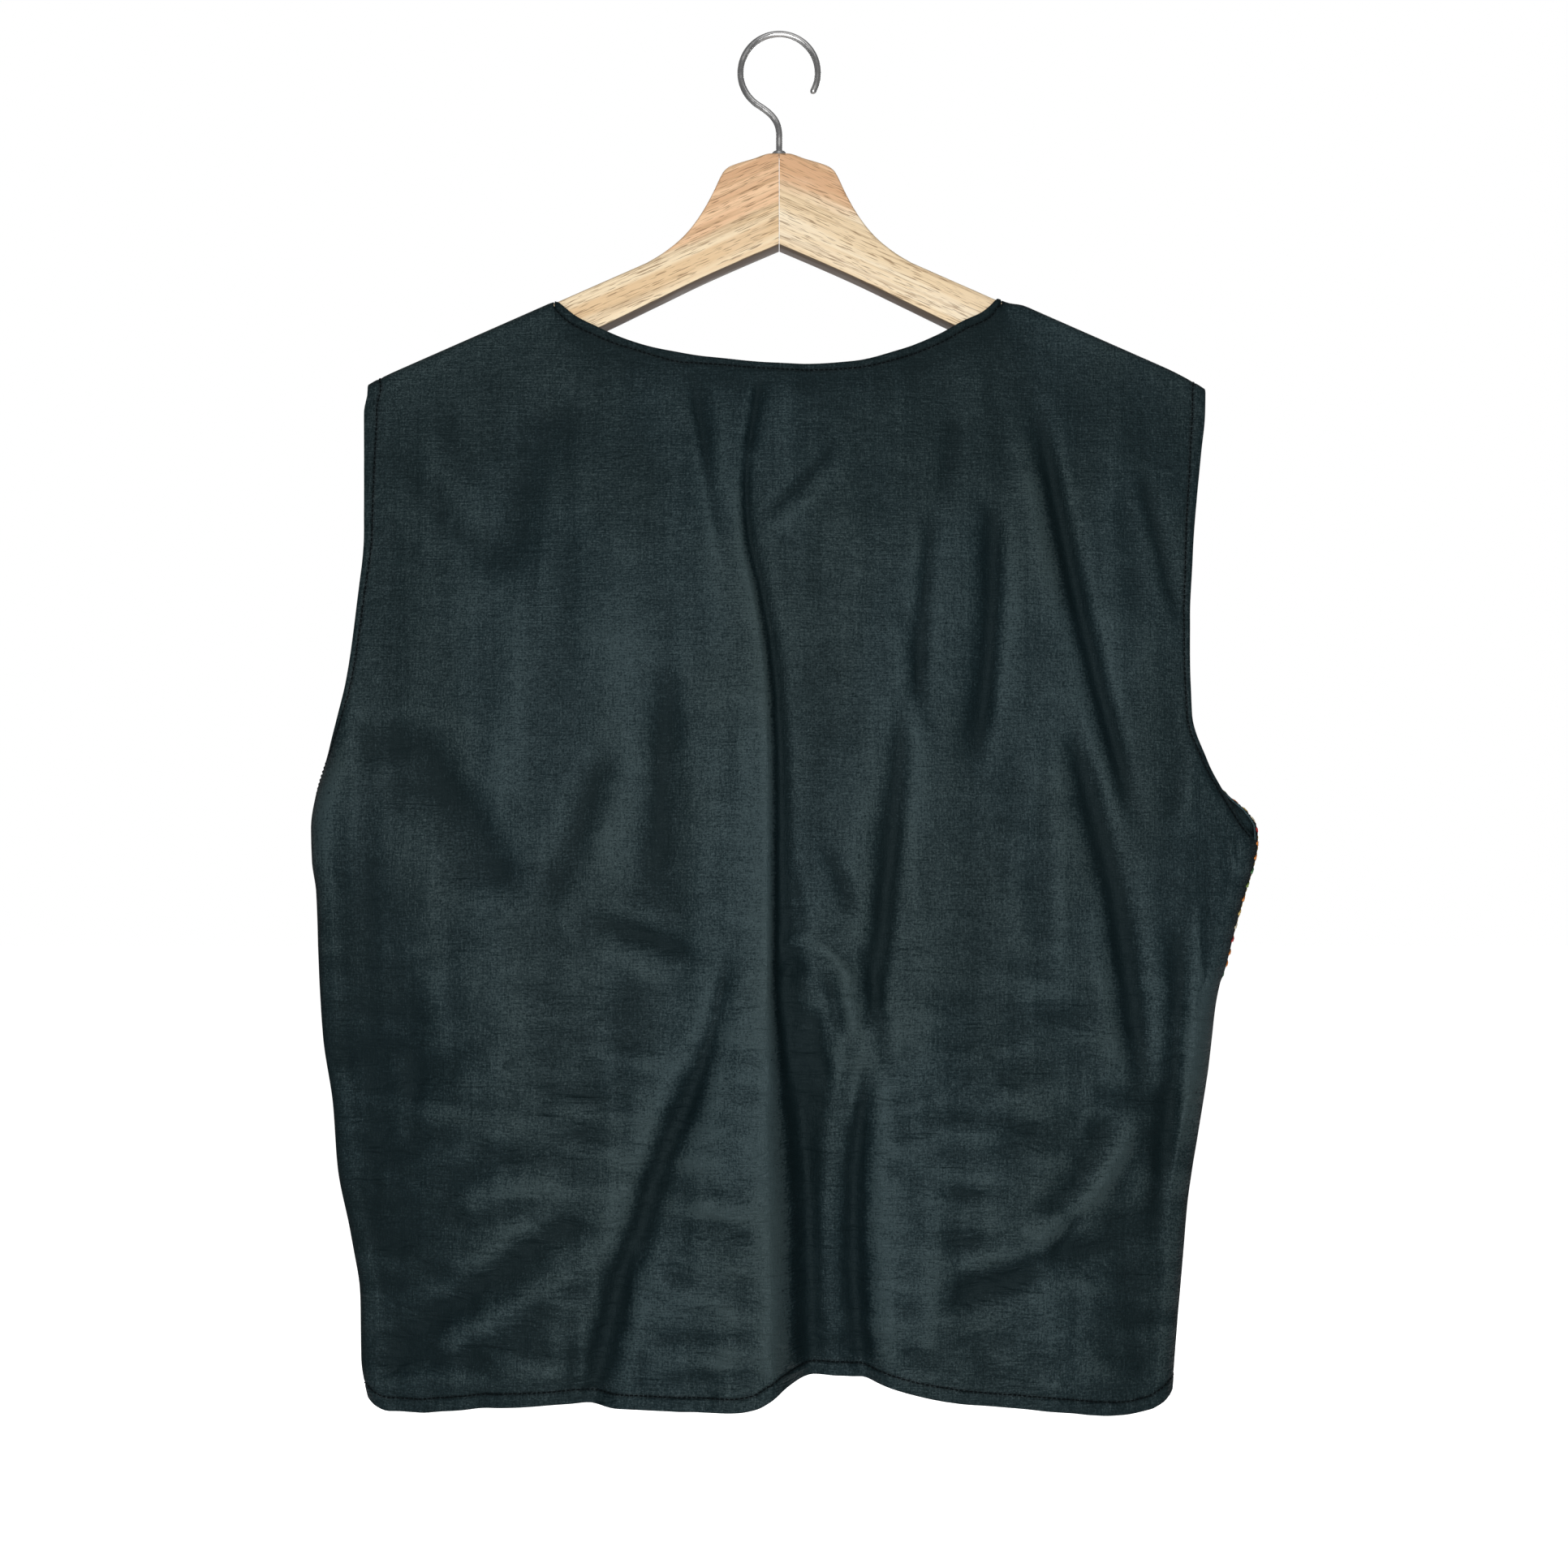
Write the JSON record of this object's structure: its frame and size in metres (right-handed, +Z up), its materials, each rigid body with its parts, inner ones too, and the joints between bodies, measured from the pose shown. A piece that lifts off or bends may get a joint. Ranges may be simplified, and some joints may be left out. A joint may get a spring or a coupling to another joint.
{
  "type": "embroidered vest on a hanger",
  "caption": "Sleeveless folk vest with a plain back and embroidered open fronts, hung on a flat wooden hanger with a steel hook.",
  "frame": {"origin": "top of the inside of the hanger's hook, where it bears on a rod", "axes": "+Z up, +Y out of the vest's embroidered fronts, -Y out of its plain back, X along the shoulders"},
  "size_m": [0.5313, 0.0676, 0.7713],
  "materials": {
    "plain_cotton": "matt slubby cotton, dark blue green",
    "embroidered_cotton": "matt near-black cotton with coloured floral stitching",
    "pale_wood": "bare sanded wood, satin",
    "steel": "plated, semi-gloss"
  },
  "bodies": {
    "root": {"back": "plain_cotton", "front_left": "embroidered_cotton", "front_right": "embroidered_cotton", "hanger_arm_left": "pale_wood", "hanger_arm_right": "pale_wood", "hanger_hook": "steel"}
  },
  "joints": []
}
